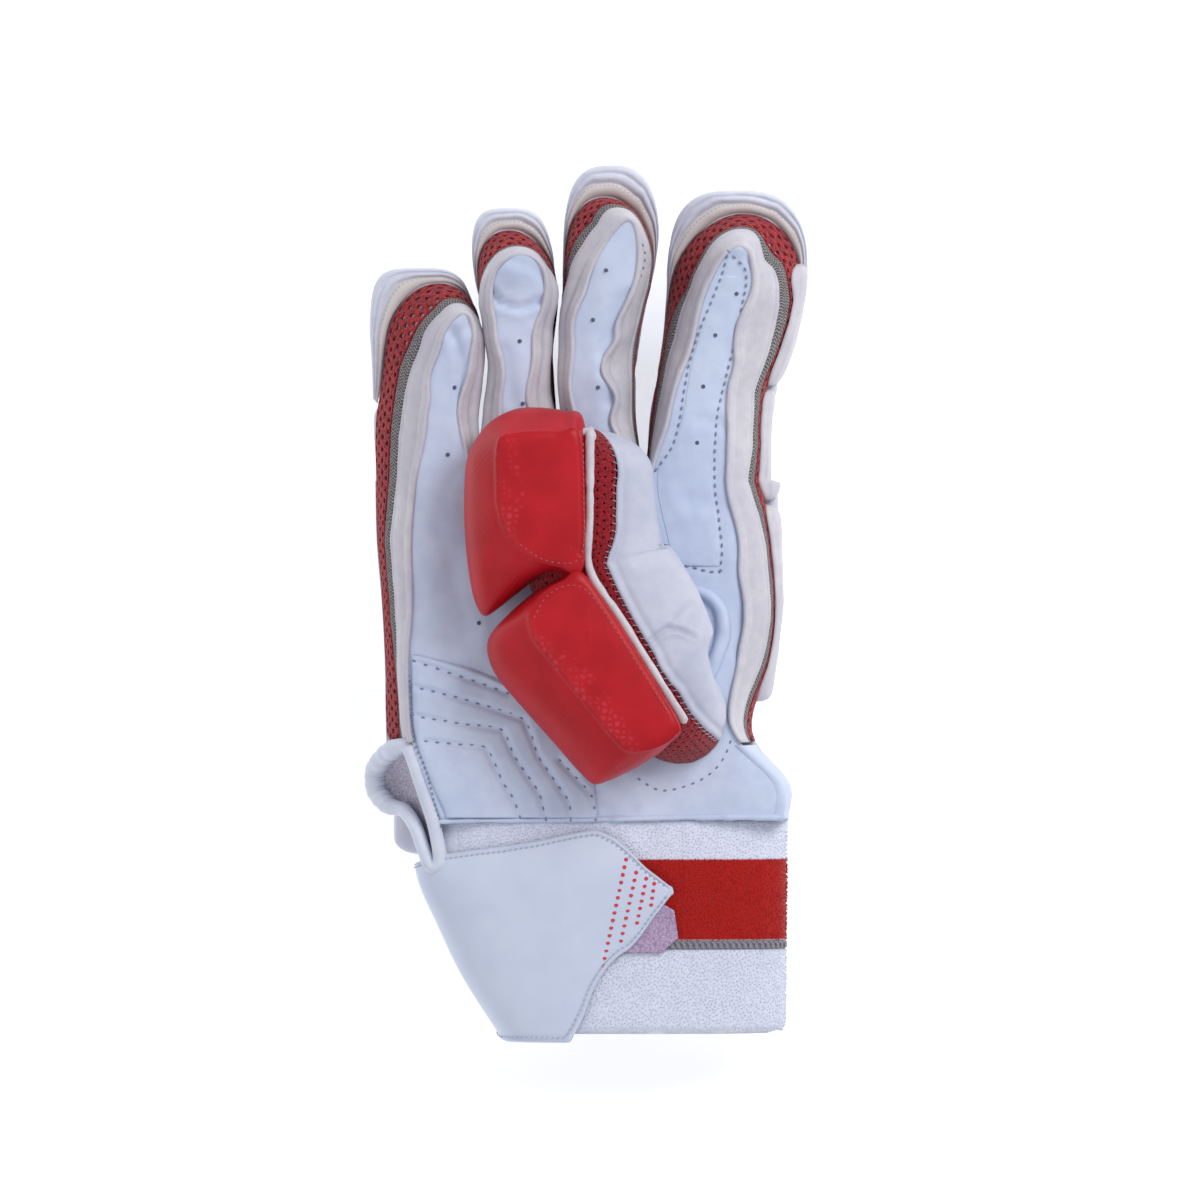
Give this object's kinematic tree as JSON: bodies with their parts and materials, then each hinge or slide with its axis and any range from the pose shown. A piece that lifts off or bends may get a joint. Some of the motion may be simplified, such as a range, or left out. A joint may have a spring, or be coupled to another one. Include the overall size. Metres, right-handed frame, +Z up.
{
  "type": "cricket batting glove",
  "caption": "Right-hand cricket batting glove lying palm up, with foam guards, net side walls, a guarded thumb over the palm, a terry cuff and a wide closing strap.",
  "frame": {"origin": "bottom centre of the bounding box", "axes": "+Y from the cuff to the fingertips, +Z up out of the palm, +X towards the index finger"},
  "size_m": [0.1518, 0.3026, 0.0855],
  "materials": {
    "leather": "satin",
    "lining": "matte",
    "tape": "matte",
    "net": "matte",
    "back_guard": "satin",
    "thumb_guard": "satin",
    "terry": "matte",
    "strap": "satin",
    "hook": "matte"
  },
  "bodies": {
    "root": {"back_fabric": "lining", "cuff": "terry", "guard_hand_index": "back_guard", "guard_hand_little": "back_guard", "guard_hand_middle": "back_guard", "guard_hand_ring": "back_guard", "guard_index_knuckle": "back_guard", "guard_index_tip": "back_guard", "guard_little_knuckle": "back_guard", "guard_little_tip": "back_guard", "guard_middle_knuckle": "back_guard", "guard_middle_tip": "back_guard", "guard_ring_knuckle": "back_guard", "guard_ring_tip": "back_guard", "guard_wrist": "back_guard", "gusset_index": "leather", "gusset_little": "leather", "gusset_middle": "leather", "gusset_ring": "leather", "heel_patch": "leather", "hook_patch": "hook", "index_patch": "leather", "mesh_index": "net", "mesh_little": "net", "mesh_middle": "net", "mesh_ring": "net", "palm_leather": "leather", "slit_binding": "leather", "strap": "strap", "tape_index": "tape", "tape_little": "tape", "tape_middle": "tape", "tape_ring": "tape", "thumb_guard_root": "thumb_guard", "thumb_guard_tip": "thumb_guard", "thumb_leather": "leather", "thumb_mesh": "net", "thumb_piping": "leather", "wrist_side": "leather"}
  },
  "joints": []
}
